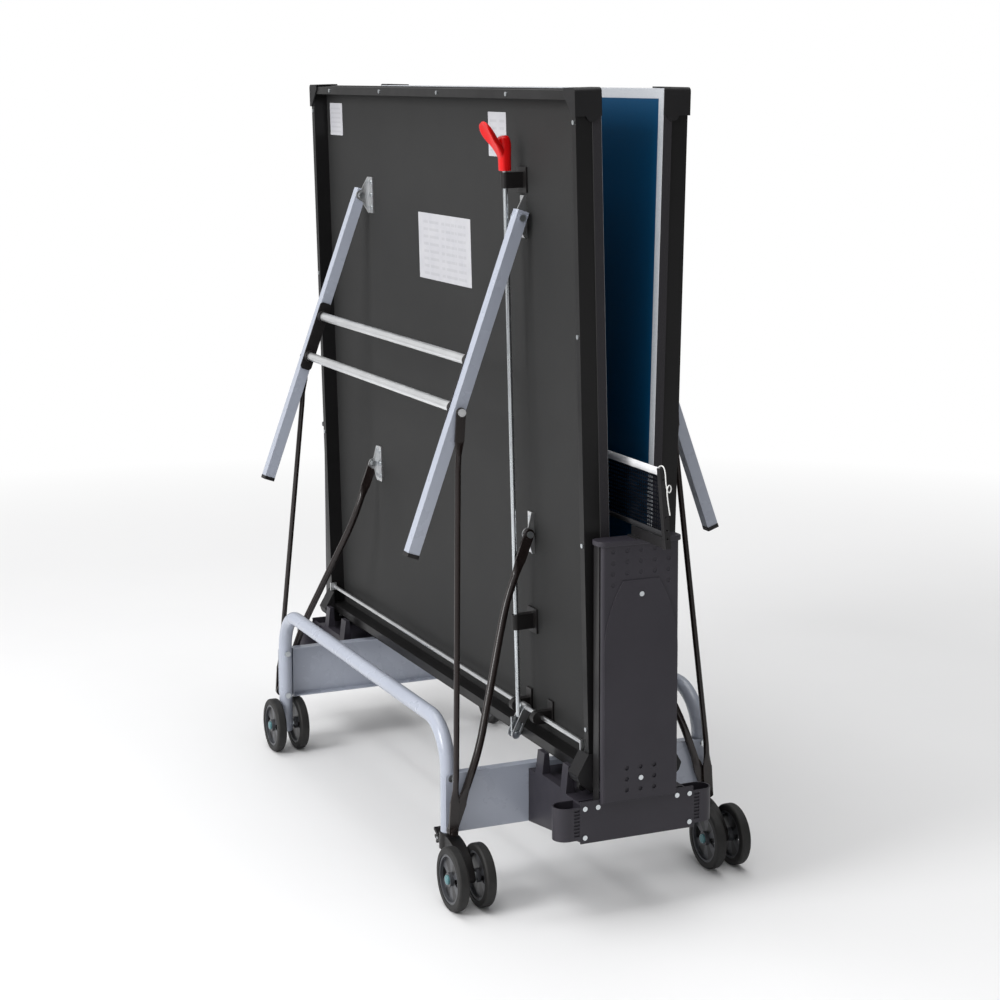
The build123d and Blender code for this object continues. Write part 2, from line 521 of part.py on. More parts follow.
# Housing: plastic box round the outrigger, with a ball pocket at each end and bat hooks on top.
SKIN = 3
POCKET_X, POCKET_R, POCKET_LOW = 148, 24, 174
POCKET_Y = HOUSING_Y - POCKET_R
BACK_Y = BEAM_SKIN + BEAM_SHEET + 0.5
with BuildPart() as housing:
    with BuildSketch(Plane.YZ.offset(-HOUSING_HALF)):
        with BuildLine():
            Polyline((-BACK_Y, BEAM_LOW), (-HOUSING_Y, HOUSING_LOW), (-HOUSING_Y, HOUSING_TOP), (-BACK_Y, HOUSING_TOP),
                     close=True)
        make_face()
    extrude(amount=2 * HOUSING_HALF)
    with BuildSketch(Plane.YZ.offset(-HOUSING_HALF + SKIN)):
        with BuildLine():
            Polyline((-BACK_Y + 1, BEAM_LOW - 2), (-HOUSING_Y + SKIN, BEAM_LOW - 2),
                     (-HOUSING_Y + SKIN, HOUSING_TOP - SKIN), (-BACK_Y + 1, HOUSING_TOP - SKIN), close=True)
        make_face()
    extrude(amount=2 * (HOUSING_HALF - SKIN), mode=Mode.SUBTRACT)
    span((-HOUSING_HALF + SKIN, HOUSING_HALF - SKIN), (-HOUSING_Y + SKIN, -COLUMN_Y + 4),
         (HOUSING_TOP - SKIN - 1, HOUSING_TOP + 1), Mode.SUBTRACT)
    span((-124, 124), (-HOUSING_Y, -HOUSING_Y + SKIN), (HOUSING_LOW, 250))
    for side in (-1, 1):
        with BuildSketch(Plane.XY.offset(POCKET_LOW)):
            with Locations((side * (POCKET_X + HOUSING_HALF) / 2, -POCKET_Y)):
                Rectangle(POCKET_X - HOUSING_HALF, 2 * POCKET_R)
            with Locations((side * POCKET_X, -POCKET_Y)):
                Circle(POCKET_R)
        extrude(amount=HOUSING_TOP - 2 - POCKET_LOW)
        with BuildSketch(Plane.XY.offset(POCKET_LOW + SKIN)):
            with Locations((side * (POCKET_X + HOUSING_HALF + 1) / 2, -POCKET_Y)):
                Rectangle(POCKET_X - HOUSING_HALF - 1, 2 * (POCKET_R - SKIN))
            with Locations((side * POCKET_X, -POCKET_Y)):
                Circle(POCKET_R - SKIN)
        extrude(amount=HOUSING_TOP, mode=Mode.SUBTRACT)
        for step in range(8):
            low = POCKET_LOW + 8 + 7 * step
            span(sorted((side * 126, side * 138)), (-HOUSING_Y - 1, -HOUSING_Y + SKIN - 0.5), (low, low + 4.5),
                 Mode.SUBTRACT)
        for low_y, high_y, top in ((-606, -574, 291), (-718, -692, 298)):
            with BuildSketch(Plane.XZ.offset(-high_y)):
                with BuildLine():
                    Polyline((side * 118, HOUSING_TOP - 1), (side * 112, top), (side * 102, top), (side * 98, HOUSING_TOP - 1),
                             close=True)
                make_face()
            extrude(amount=high_y - low_y)
        span(sorted((side * 100, side * 118)), (-692, -606), (HOUSING_TOP - 1, HOUSING_TOP + 6))
save_ends(housing.part, "housing")


# ---------------------------------------------------------------- net, posts and cord
POST_HALF, POST_DEPTH, POST_WALL = 6, 12, 1.5
post_slope = (POST_LOW_Y - POST_TOP_Y) / (NET_TOP - POST_FOOT)
POST = Plane(origin=(0, -POST_LOW_Y, POST_FOOT), x_dir=(1, 0, 0), z_dir=(0, post_slope, 1))
POST_LENGTH = hypot(POST_LOW_Y - POST_TOP_Y, NET_TOP + 1 - POST_FOOT)
with BuildPart() as near_post:
    with BuildSketch(POST):
        Rectangle(2 * POST_HALF, POST_DEPTH)
        with Locations((0, POST_WALL)):
            Rectangle(2 * (POST_HALF - POST_WALL), POST_DEPTH, mode=Mode.SUBTRACT)
    extrude(amount=POST_LENGTH)
    for height in (20, 36, 60, 130):
        with BuildSketch(Plane.XZ.offset(POST_LOW_Y - 10 - post_slope * height)):
            with Locations((0, POST_FOOT + height)):
                Circle(2)
        extrude(amount=20, mode=Mode.SUBTRACT)
    span((-3, 3), (-POST_LOW_Y + 1, -COLUMN_Y), (POST_FOOT, POST_FOOT + 20))
    span((-12, 12), (-COLUMN_Y - 38, -COLUMN_Y), (POST_FOOT, POST_FOOT + 3))
with BuildPart() as net_posts:
    add(near_post.part)
    add(near_post.part.mirror(Plane.XZ))
save(net_posts.part, "net_posts")

with BuildPart() as net:
    with BuildSketch(Plane.YZ.offset(-0.75)):
        with BuildLine():
            low, high = POST_LOW_Y - post_slope * (NET_LOW - POST_FOOT) - 3, POST_TOP_Y - 3
            Polyline((-low, NET_LOW), (low, NET_LOW), (high, NET_TOP), (-high, NET_TOP), close=True)
        make_face()
    extrude(amount=1.5)
save(net.part, "net")

CORD_D = 2.4
CORD_ROUTE = [(0.5, -877, 914), (0.8, -884, 917.2), (1.5, -891, 918), (2.5, -896.5, 912), (3, -899, 900), (3, -900.5, 886),
              (4, -902, 874), (8.5, -903, 866), (13, -903.5, 872), (12, -904.5, 881), (6, -906, 884), (1.5, -907, 876),
              (2.5, -907.5, 860), (4.5, -908.5, 845), (7, -910, 826)]


def turn_at(route, index):
    before = Vector(*route[index]) - Vector(*route[index - 1])
    after = Vector(*route[index + 1]) - Vector(*route[index])
    return before, after, radians(before.get_angle(after))


cord_radii = []
for index in range(1, len(CORD_ROUTE) - 1):
    before, after, turn = turn_at(CORD_ROUTE, index)
    cord_radii.append(0.45 * min(before.length, after.length) / (sin(turn / 2) / cos(turn / 2)))
with BuildPart() as net_cord:
    with BuildLine() as cord_line:
        FilletPolyline(*CORD_ROUTE, radius=cord_radii)
    with BuildSketch(Plane(origin=CORD_ROUTE[0], z_dir=cord_line.line % 0)):
        Circle(CORD_D / 2)
    sweep(path=cord_line.line)
save(net_cord.part, "net_cord")


# ---------------------------------------------------------------- carriage fasteners
BOLT_HIGH = BEAM_HIGH - 9
with BuildPart() as carriage_fasteners:
    for x in (-TUBE_X, TUBE_X):
        for end in (-1, 1):
            skin = end * (BEAM_SKIN + BEAM_SHEET)
            rod_y(x, BOLT_HIGH, 7.5, *sorted((skin, skin + end * 2.5)))
            rod_y(x * FOOT_X / -TUBE_X, FOOT_Z, 7, *sorted((skin, skin + end * 2.5)))
            inner = end * (TUBE_Y - TUBE_D / 2)
            for z in (FOOT_Z, BOLT_HIGH):
                rod_y(x, z, 7, *sorted((inner, inner - end * 5)))
        for wheel in (-1, 1):
            rod_x(TUBE_Y, WHEEL_R, 9, *sorted((x + wheel * 16, x + wheel * 17.6)))
            rod_x(TUBE_Y, WHEEL_R, 9, *sorted((x + wheel * 40.4, x + wheel * 44)))
        rod_x(TUBE_Y, WHEEL_R, AXLE_D / 2, x - 42, x + 42)
        rod_z(x, -TUBE_Y, TUBE_D / 2 - TUBE_WALL - 0.05, 129, 180)
        rod_z(x, -TUBE_Y, 6 + RUN, 127, 181, Mode.SUBTRACT)
    for end in (-1, 1):
        for x, z in ((-115, 236), (-87, 236), (87, 236), (115, 236), (-115, 178), (115, 178)):
            rod_y(x, z, 5, *sorted((end * HOUSING_Y, end * (HOUSING_Y + 1.8))))
        for z in (SCREW_LOW, SCREW_HIGH):
            rod_y(0, z, 5, *sorted((end * (SHIELD_Y + 2), end * (SHIELD_Y + 4))))
save(carriage_fasteners.part, "carriage_fasteners")


# ---------------------------------------------------------------- casters
def wheel(x, y):
    """Wheel at x, y: spoked plastic hub with a rubber tyre round it."""
    with BuildPart() as hub:
        rod_x(y, WHEEL_R, 50, x - 9.5, x + 9.5)
        for face in (-1, 1):
            start, end = x + face * 4, x + face * 10
            rod_x(y, WHEEL_R, 45, *sorted((start, end)), Mode.SUBTRACT)
        rod_x(y, WHEEL_R, 14, x - 11, x + 11)
        for turn in range(5):
            facing = Plane(origin=(x - 10, y, WHEEL_R), x_dir=(0, 1, 0), z_dir=(1, 0, 0))
            with BuildSketch(facing.rotated((0, 0, 72 * turn))):
                with BuildLine():
                    Polyline((18, -4), (41, -15), (41, 15), (18, 4), close=True)
                make_face()
            extrude(amount=20, mode=Mode.SUBTRACT)
        rod_x(y, WHEEL_R, AXLE_D / 2 + RUN, x - 12, x + 12, Mode.SUBTRACT)
    with BuildPart() as tyre:
        rod_x(y, WHEEL_R, WHEEL_R, x - TYRE_WIDTH / 2, x + TYRE_WIDTH / 2)
        fillet(tyre.edges(), 5)
        rod_x(y, WHEEL_R, 50, x - 12, x + 12, Mode.SUBTRACT)
    return Compound(children=[hub.part, tyre.part])


AXLE_Y = TUBE_Y + TRAIL
for side, x in (("left", -TUBE_X), ("right", TUBE_X)):
    for place, step in (("outer", -1), ("inner", 1)):
        wheel_x = x + step * WHEEL_OFFSET if x < 0 else x - step * WHEEL_OFFSET
        save(wheel(wheel_x, TUBE_Y), f"wheel_far_{side}_{place}")
        save(wheel(wheel_x, -AXLE_Y), f"wheel_near_{side}_{place}")

FORK_HALF, COLLAR_R, COLLAR_LOW, COLLAR_HIGH = 14, 19, 94, 128
PEDAL_Y, PEDAL_Z = 24, 108
PEDAL_OUTLINE = [(23.5, 112), (48, 123), (50, 118), (38, 112), (46, 107), (44, 103), (36, 101), (39, 96), (35, 93), (27, 104)]
for side, x in (("left", -TUBE_X), ("right", TUBE_X)):
    with BuildPart() as fork:
        rod_z(x, -TUBE_Y, COLLAR_R, COLLAR_LOW, COLLAR_HIGH)
        with BuildSketch(Plane.YZ.offset(x - FORK_HALF)):
            with BuildLine():
                crown = ThreePointArc((-TUBE_Y - 10, 124), (-AXLE_Y + 22, 108), (-AXLE_Y - 14, WHEEL_R))
                ThreePointArc(crown @ 1, (-AXLE_Y, WHEEL_R - 14), (-AXLE_Y + 14, WHEEL_R))
                ThreePointArc((-AXLE_Y + 14, WHEEL_R), (-TUBE_Y - 40, 90), (-TUBE_Y - 10, 92))
                Line((-TUBE_Y - 10, 92), (-TUBE_Y - 10, 124))
            make_face()
        extrude(amount=2 * FORK_HALF)
        for face in (-1, 1):
            lug = sorted((x + face * 12.3, x + face * 15.3))
            span(lug, (-TUBE_Y + 8, -TUBE_Y + PEDAL_Y + 5), (PEDAL_Z - 5, PEDAL_Z + 5))
        rod_x(-TUBE_Y + PEDAL_Y, PEDAL_Z, 2.5, x - 20, x + 20, Mode.SUBTRACT)
        rod_z(x, -TUBE_Y, 6, 60, 130, Mode.SUBTRACT)
        rod_x(-AXLE_Y, WHEEL_R, AXLE_D / 2, x - 20, x + 20, Mode.SUBTRACT)
    save(fork.part, f"caster_fork_{side}")
    with BuildPart() as pins:
        rod_z(x, -TUBE_Y, 6, COLLAR_LOW, 176)
        rod_x(-TUBE_Y + PEDAL_Y, PEDAL_Z, 2.5, x - 15.3, x + 15.3)
        rod_x(-AXLE_Y, WHEEL_R, AXLE_D / 2, x - 42, x + 42)
        for face in (-1, 1):
            rod_x(-AXLE_Y, WHEEL_R, 9, *sorted((x + face * FORK_HALF, x + face * 17.6)))
            rod_x(-AXLE_Y, WHEEL_R, 9, *sorted((x + face * 40.4, x + face * 44)))
    save(pins.part, f"caster_pins_{side}")
    with BuildPart() as pedal:
        with BuildSketch(Plane.YZ.offset(x - 12)):
            with BuildLine():
                Polyline(*[(-TUBE_Y + y, z) for y, z in PEDAL_OUTLINE], close=True)
            make_face()
            with Locations((-TUBE_Y + PEDAL_Y, PEDAL_Z)):
                Circle(4.5)
                Circle(2.5 + RUN, mode=Mode.SUBTRACT)
        extrude(amount=24)
    save(pedal.part, f"brake_pedal_{side}")
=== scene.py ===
import math

import bmesh
import bpy
from mathutils import Matrix, Vector


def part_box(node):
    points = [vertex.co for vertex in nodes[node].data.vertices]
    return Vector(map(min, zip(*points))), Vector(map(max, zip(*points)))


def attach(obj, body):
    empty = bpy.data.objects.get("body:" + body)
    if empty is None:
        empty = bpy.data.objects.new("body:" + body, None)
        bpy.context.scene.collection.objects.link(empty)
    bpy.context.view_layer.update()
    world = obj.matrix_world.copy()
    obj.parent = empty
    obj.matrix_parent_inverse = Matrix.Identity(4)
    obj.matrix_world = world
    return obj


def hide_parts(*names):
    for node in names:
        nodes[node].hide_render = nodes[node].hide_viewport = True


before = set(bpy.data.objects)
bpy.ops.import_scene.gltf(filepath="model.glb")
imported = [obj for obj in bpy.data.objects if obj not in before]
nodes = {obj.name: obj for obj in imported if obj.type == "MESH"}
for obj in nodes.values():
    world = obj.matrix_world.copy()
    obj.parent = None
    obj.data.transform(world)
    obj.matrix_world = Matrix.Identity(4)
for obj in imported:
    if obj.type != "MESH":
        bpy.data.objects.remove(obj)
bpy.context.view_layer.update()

LEAN = math.radians(1.42)
SIDES = {"left": 1, "right": -1}
BOARD = 0.020
# lower edge of the playing surface of the left half, as stored
HINGE_X, HINGE_Z = 0.033, 0.254
LOCK_Y = -0.440
WHEEL_AXLE_Z = 0.064
TAPE_HEIGHT, BAND_HEIGHT = 0.015, 0.010
NET_TAPER = 0.1727
NET_PITCH, NET_STRAND = 0.0078, 0.42


# ---------------------------------------------------------------- places on a half
def half_matrix(side):
    """Frame of a half: X along the board, Y across the table, Z behind the playing surface."""
    s, c = math.sin(LEAN), math.cos(LEAN)
    base = Matrix(((-s, 0, -c, -HINGE_X), (0, 1, 0, 0), (c, 0, -s, HINGE_Z), (0, 0, 0, 1)))
    return base if side == "left" else Matrix.Rotation(math.pi, 4, "Z") @ base


# ---------------------------------------------------------------- materials
class Mat:
    """A node material with short helpers for procedural detail."""

    def __init__(self, name, colour, rough=0.5, metal=0.0):
        self.mat = bpy.data.materials.new(name)
        self.mat.use_nodes = True
        self.tree = self.mat.node_tree
        self.nodes = self.tree.nodes
        self.bsdf = self.nodes["Principled BSDF"]
        self.bsdf.inputs["Base Color"].default_value = (*colour, 1)
        self.bsdf.inputs["Roughness"].default_value = rough
        self.bsdf.inputs["Metallic"].default_value = metal
        self.colour = None
        self.height = None
        self.coords = self.nodes.new("ShaderNodeTexCoord").outputs["Object"]

    def link(self, a, b):
        self.tree.links.new(a, b)

    def noise(self, scale, detail=4, stretch=None, rough=0.55):
        source = self.coords
        if stretch:
            mapping = self.nodes.new("ShaderNodeMapping")
            mapping.inputs["Scale"].default_value = stretch
            self.link(source, mapping.inputs["Vector"])
            source = mapping.outputs["Vector"]
        tex = self.nodes.new("ShaderNodeTexNoise")
        tex.inputs["Scale"].default_value = scale
        tex.inputs["Detail"].default_value = detail
        tex.inputs["Roughness"].default_value = rough
        self.link(source, tex.inputs["Vector"])
        return tex.outputs["Fac"]

    def ramp(self, fac, low, high, a=0.0, b=1.0):
        node = self.nodes.new("ShaderNodeMapRange")
        for name, value in (("From Min", low), ("From Max", high), ("To Min", a), ("To Max", b)):
            node.inputs[name].default_value = value
        self.link(fac, node.inputs["Value"])
        return node.outputs["Result"]

    def math(self, op, a, b=None):
        node = self.nodes.new("ShaderNodeMath")
        node.operation = op
        for index, value in enumerate((a, b)):
            if value is None:
                continue
            if isinstance(value, (int, float)):
                node.inputs[index].default_value = value
            else:
                self.link(value, node.inputs[index])
        return node.outputs[0]

    def dot(self, direction):
        node = self.nodes.new("ShaderNodeVectorMath")
        node.operation = "DOT_PRODUCT"
        node.inputs[1].default_value = direction
        self.link(self.coords, node.inputs[0])
        return node.outputs["Value"]

    def mix(self, fac, a, b):
        node = self.nodes.new("ShaderNodeMix")
        node.data_type = "RGBA"
        for slot, value in (("A", a), ("B", b)):
            socket = [s for s in node.inputs if s.name == slot and s.type == "RGBA"][0]
            if isinstance(value, tuple):
                socket.default_value = (*value, 1)
            else:
                self.link(value, socket)
        self.link(fac, node.inputs["Factor"])
        return [s for s in node.outputs if s.type == "RGBA"][0]

    def paint(self, colour):
        self.colour = colour
        self.link(colour, self.bsdf.inputs["Base Color"])
        return self

    def tint(self, base, other, scale, detail=5):
        """Soft variation between two close colours."""
        fac = self.ramp(self.noise(scale, detail), 0.35, 0.68)
        return self.paint(self.mix(fac, base, other))

    def bump(self, fac, distance, strength=1.0):
        node = self.nodes.new("ShaderNodeBump")
        node.inputs["Distance"].default_value = distance
        node.inputs["Strength"].default_value = strength
        self.link(fac, node.inputs["Height"])
        if self.height is not None:
            self.link(self.height, node.inputs["Normal"])
        self.height = node.outputs["Normal"]
        self.link(self.height, self.bsdf.inputs["Normal"])
        return self

    def soften(self, width):
        """Rounded look on sharp edges, under whatever bump comes after it."""
        bevel = self.nodes.new("ShaderNodeBevel")
        bevel.samples = 4
        bevel.inputs["Radius"].default_value = width
        self.height = bevel.outputs["Normal"]
        self.link(self.height, self.bsdf.inputs["Normal"])
        return self

    def rough(self, low, high, scale):
        self.link(self.ramp(self.noise(scale, 5), 0.3, 0.7, low, high), self.bsdf.inputs["Roughness"])
        return self

    def shine(self, level):
        self.bsdf.inputs["Specular IOR Level"].default_value = level
        return self

    def painted_edge_highlight(self, colour, amount, width=0.0012):
        """Lighter colour on sharp edges as a painted highlight, broken into patches, from the difference between
        the bevelled and the true normal.
        """
        bevel = self.nodes.new("ShaderNodeBevel")
        bevel.samples = 4
        bevel.inputs["Radius"].default_value = width
        geo = self.nodes.new("ShaderNodeNewGeometry")
        dot = self.nodes.new("ShaderNodeVectorMath")
        dot.operation = "DOT_PRODUCT"
        self.link(bevel.outputs["Normal"], dot.inputs[0])
        self.link(geo.outputs["Normal"], dot.inputs[1])
        edge = self.ramp(dot.outputs["Value"], 0.93, 0.70, 0.0, 1.0)
        patchy = self.ramp(self.noise(60, 4), 0.40, 0.62, 0.25, 1.0)
        fac = self.math("MULTIPLY", self.math("MULTIPLY", edge, patchy), amount)
        return self.paint(self.mix(fac, self.colour, colour))

    def coat(self, weight, rough):
        self.bsdf.inputs["Coat Weight"].default_value = weight
        self.bsdf.inputs["Coat Roughness"].default_value = rough
        return self


def painted(name, a, b, edge, rough=(0.22, 0.34), peel=0.00006, shine=0.5):
    """Paint between two close colours, with a lighter colour on sharp edges as a painted highlight."""
    m = Mat(name, a, 0.3)
    m.shine(shine)
    m.soften(0.0009)
    m.tint(a, b, 3.5)
    # lighter edge colour: painted highlight on sharp edges
    m.painted_edge_highlight(edge, 0.45)
    m.rough(rough[0], rough[1], 9)
    m.bump(m.noise(420, 2), peel, 0.6)
    m.coat(0.5 * shine, 0.12)
    return m.mat


def moulded(name, a, b, edge, rough=(0.42, 0.56), grain=900, depth=0.00009, shine=0.5):
    """Grained plastic between two close colours."""
    m = Mat(name, a, 0.5)
    m.shine(shine)
    m.soften(0.0013)
    m.tint(a, b, 5)
    # lighter edge colour: painted highlight on sharp edges
    m.painted_edge_highlight(edge, 0.35, 0.0009)
    m.rough(rough[0], rough[1], 18)
    m.bump(m.noise(grain, 3, None, 0.7), depth, 0.8)
    return m.mat


def zinc(name, a=(0.66, 0.67, 0.68), b=(0.74, 0.75, 0.76), rough=(0.26, 0.36)):
    """Plated or galvanised metal."""
    m = Mat(name, a, 0.3, 1.0)
    m.tint(a, b, 14, 4)
    m.rough(rough[0], rough[1], 20)
    m.bump(m.noise(320, 3), 0.00002, 0.4)
    return m.mat


# the third colour of each paint and plastic is a painted highlight on its sharp edges
GREY = painted("grey_gloss_paint", (0.345, 0.372, 0.440), (0.370, 0.398, 0.468), (0.6, 0.62, 0.66))
TUBE = painted("black_brown_enamel", (0.010, 0.0065, 0.006), (0.016, 0.010, 0.009),
               (0.07, 0.055, 0.05), (0.18, 0.28), 0.00006, 0.35)
RIM = painted("rim_powder_coat", (0.0075, 0.0073, 0.0075), (0.0105, 0.0102, 0.0105),
              (0.05, 0.05, 0.052), (0.30, 0.42), 0.00010, 0.16)
STEEL_DARK = painted("post_powder_coat", (0.014, 0.0135, 0.014), (0.020, 0.019, 0.020),
                     (0.08, 0.08, 0.08), (0.32, 0.45), 0.00010, 0.25)
COVER = moulded("cover_plastic", (0.024, 0.0218, 0.0285), (0.029, 0.0262, 0.034),
                (0.09, 0.085, 0.10), (0.38, 0.50), 900, 0.00009, 0.32)
BLACK = moulded("black_plastic", (0.007, 0.0062, 0.0062), (0.012, 0.0105, 0.0105),
                (0.07, 0.065, 0.065), (0.34, 0.5), 900, 0.00009, 0.3)
CAP = moulded("corner_plastic", (0.008, 0.0077, 0.0085), (0.011, 0.0107, 0.0116),
              (0.06, 0.06, 0.065), (0.45, 0.58), 900, 0.00009, 0.25)
RED = moulded("red_plastic", (0.60, 0.002, 0.003), (0.68, 0.004, 0.005), (0.80, 0.06, 0.05),
              (0.26, 0.36), 500, 0.00004, 0.3)
ZINC = zinc("zinc_plate")
GALV = zinc("galvanised_tube", (0.80, 0.81, 0.82), (0.88, 0.89, 0.90), (0.32, 0.40))
SCREW = zinc("bright_screws", (0.54, 0.57, 0.59), (0.62, 0.65, 0.67), (0.24, 0.32))


def board_material(side):
    """Blue playing side with white lines, grey edge strip and a dark textured back."""
    k = SIDES[side]
    m = Mat(f"board_{side}", (0.02, 0.1, 0.25), 0.5)
    s, c = math.sin(LEAN), math.cos(LEAN)
    u0, v0 = HINGE_Z * c + HINGE_X * s, HINGE_X * c - HINGE_Z * s
    u = m.math("SUBTRACT", m.dot((-s * k, 0, c)), u0)
    v = m.math("SUBTRACT", m.dot((-c * k, 0, -s)), v0)
    y = m.math("ABSOLUTE", m.dot((0, 1, 0)))
    speck = m.ramp(m.noise(700, 3), 0.4, 0.66)
    blue = m.mix(speck, (0.0006, 0.038, 0.096), (0.0012, 0.050, 0.124))
    lines = m.math("MAXIMUM", m.math("GREATER_THAN", y, 0.7425), m.math("GREATER_THAN", u, 1.35))
    lines = m.math("MAXIMUM", lines, m.math("LESS_THAN", y, 0.0015))
    white = m.mix(m.ramp(m.noise(300, 3), 0.35, 0.7), (0.40, 0.42, 0.45), (0.48, 0.49, 0.51))
    top = m.mix(lines, blue, white)
    back = m.mix(m.ramp(m.noise(4, 6), 0.35, 0.68), (0.0225, 0.0226, 0.0226), (0.0275, 0.0276, 0.0276))
    back = m.mix(m.ramp(m.noise(1100, 2), 0.45, 0.62), back, (0.0155, 0.0156, 0.0156))
    edge = m.mix(m.ramp(m.noise(800, 3), 0.4, 0.62), (0.034, 0.032, 0.036), (0.012, 0.011, 0.013))
    is_top = m.math("LESS_THAN", v, 0.0008)
    is_back = m.math("GREATER_THAN", v, 0.0192)
    m.paint(m.mix(is_top, m.mix(is_back, edge, back), top))
    m.link(m.ramp(is_top, 0, 1, 0.62, 0.42), m.bsdf.inputs["Roughness"])
    m.shine(0.2)
    m.bump(m.noise(1300, 2, None, 0.7), 0.00008, 0.7)
    return m.mat


def wheel_material(name, y):
    """Rubber tread outside and a plastic hub inside, with painted shade in six dark windows of the hub."""
    m = Mat(name, (0.02, 0.02, 0.02), 0.5)
    place = m.nodes.new("ShaderNodeVectorMath")
    place.operation = "SUBTRACT"
    place.inputs[1].default_value = (0, y, WHEEL_AXLE_Z)
    m.link(m.coords, place.inputs[0])
    flat = m.nodes.new("ShaderNodeVectorMath")
    flat.operation = "MULTIPLY"
    flat.inputs[1].default_value = (0, 1, 1)
    m.link(place.outputs["Vector"], flat.inputs[0])
    length = m.nodes.new("ShaderNodeVectorMath")
    length.operation = "LENGTH"
    m.link(flat.outputs["Vector"], length.inputs[0])
    radius = length.outputs["Value"]
    rubber = m.mix(m.ramp(m.noise(40, 5), 0.35, 0.7), (0.0075, 0.0072, 0.0070), (0.014, 0.0135, 0.013))
    hub = m.mix(m.ramp(m.noise(90, 4), 0.35, 0.7), (0.050, 0.052, 0.058), (0.068, 0.070, 0.078))
    is_rubber = m.math("GREATER_THAN", radius, 0.0499)
    parts = m.nodes.new("ShaderNodeSeparateXYZ")
    m.link(flat.outputs["Vector"], parts.inputs[0])
    angle = m.math("ARCTAN2", parts.outputs["Z"], parts.outputs["Y"])
    # painted shade: six dark windows between lighter spokes of the hub
    window_shade = m.math("GREATER_THAN", m.math("COSINE", m.math("MULTIPLY", angle, 6)), -0.1)
    band = m.math("MULTIPLY", m.math("GREATER_THAN", radius, 0.014),
                  m.math("LESS_THAN", radius, 0.0435))
    hub = m.mix(m.math("MULTIPLY", window_shade, band), hub, (0.011, 0.011, 0.012))
    m.paint(m.mix(is_rubber, hub, rubber))
    m.link(m.ramp(is_rubber, 0, 1, 0.34, 0.62), m.bsdf.inputs["Roughness"])
    m.shine(0.4)
    m.bump(m.noise(600, 3), 0.00008, 0.7)
    return m.mat


def assign(names, material):
    """Give CAD nodes one material."""
    for name in names:
        node = nodes[name]
        node.data.materials.clear()
        node.data.materials.append(material)


for side in SIDES:
    assign([f"table_top_{side}"], board_material(side))
    assign([f"rim_{side}"], RIM)
    assign([f"corner_fittings_{side}"], CAP)
    assign([f"hinge_brackets_{side}", f"lock_shaft_{side}", f"guide_pins_{side}"], ZINC)
    assign([f"board_screws_{side}", f"lock_rod_{side}", f"caster_pins_{side}"], SCREW)
    assign([f"leg_crossbars_{side}"], GALV)
    assign([f"lock_guides_{side}", f"leg_fittings_{side}", f"caster_fork_{side}",
            f"brake_pedal_{side}"], BLACK)
    assign([f"legs_{side}", f"arch_{side}"], GREY)
    assign([f"arms_{side}", f"rods_{side}"], TUBE)
    assign([f"lock_handle_{side}"], RED)
    for end in ("near", "far"):
        for place in ("outer", "inner"):
            name = f"wheel_{end}_{side}_{place}"
            low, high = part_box(name)
            assign([name], wheel_material(name, (low.y + high.y) / 2))
for end in ("near", "far"):
    assign([f"beam_{end}"], GREY)
    assign([f"column_{end}", f"outrigger_{end}"], STEEL_DARK)
    assign([f"shield_{end}", f"housing_{end}"], COVER)
assign(["net_posts"], STEEL_DARK)
assign(["carriage_fasteners"], SCREW)


# ---------------------------------------------------------------- helpers for new pieces
def add_object(name, mesh, material, body, smooth=True):
    """A new piece that rides on a body."""
    obj = bpy.data.objects.new(name, mesh)
    bpy.context.scene.collection.objects.link(obj)
    mesh.materials.clear()
    mesh.materials.append(material)
    if smooth:
        mesh.polygons.foreach_set("use_smooth", [True] * len(mesh.polygons))
    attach(obj, body)
    return obj


def rounded_slab(size, radius, segments=4):
    """A thin plate in its own XY plane with rounded corners."""
    bm = bmesh.new()
    w, h, t = size[0] / 2, size[1] / 2, size[2]
    ring = []
    x, y = w - radius, h - radius
    for cx, cy, start in ((x, y, 0), (-x, y, 90), (-x, -y, 180), (x, -y, 270)):
        for step in range(segments + 1):
            a = math.radians(start + 90 * step / segments)
            ring.append((cx + radius * math.cos(a), cy + radius * math.sin(a)))
    lower = [bm.verts.new((x, y, 0)) for x, y in ring]
    upper = [bm.verts.new((x, y, t)) for x, y in ring]
    bm.faces.new(list(reversed(lower)))
    bm.faces.new(upper)
    count = len(ring)
    for i in range(count):
        bm.faces.new((lower[i], lower[(i + 1) % count], upper[(i + 1) % count], upper[i]))
    mesh = bpy.data.meshes.new("slab")
    bm.to_mesh(mesh)
    bm.free()
    return mesh


# ---------------------------------------------------------------- blank labels on the back of each half
def label_material(side, name, u, y, w, h, rows):
    """White paper with faint grey line work that carries no writing."""
    k = SIDES[side]
    m = Mat(f"label_{name}_{side}", (0.6, 0.6, 0.6), 0.55)
    s, c = math.sin(LEAN), math.cos(LEAN)
    u0 = HINGE_Z * c + HINGE_X * s
    up = m.math("SUBTRACT", m.dot((-s * k, 0, c)), u0 + u - h / 2)
    across = m.math("ADD", m.dot((0, k, 0)), w / 2 - y)
    row = m.math("FRACT", m.math("MULTIPLY", up, rows / h))
    breaks = m.math("GREATER_THAN", m.noise(40, 2, (0.2, 1.0, 0.02)), 0.44)
    bars = m.math("MULTIPLY", m.math("GREATER_THAN", row, 0.62), breaks)
    in_width = m.math("MULTIPLY", m.math("GREATER_THAN", across, w * 0.09),
                      m.math("LESS_THAN", across, w * 0.90))
    in_height = m.math("MULTIPLY", m.math("GREATER_THAN", up, h * 0.06),
                       m.math("LESS_THAN", up, h * 0.92))
    inside = m.math("MULTIPLY", in_width, in_height)
    paper = m.mix(m.ramp(m.noise(25, 4), 0.3, 0.7), (0.42, 0.42, 0.45), (0.47, 0.47, 0.49))
    ink = m.math("MULTIPLY", m.math("MULTIPLY", bars, inside), 0.25)
    m.paint(m.mix(ink, paper, (0.25, 0.25, 0.27)))
    m.bump(m.noise(80, 3), 0.00015, 0.5)
    return m.mat


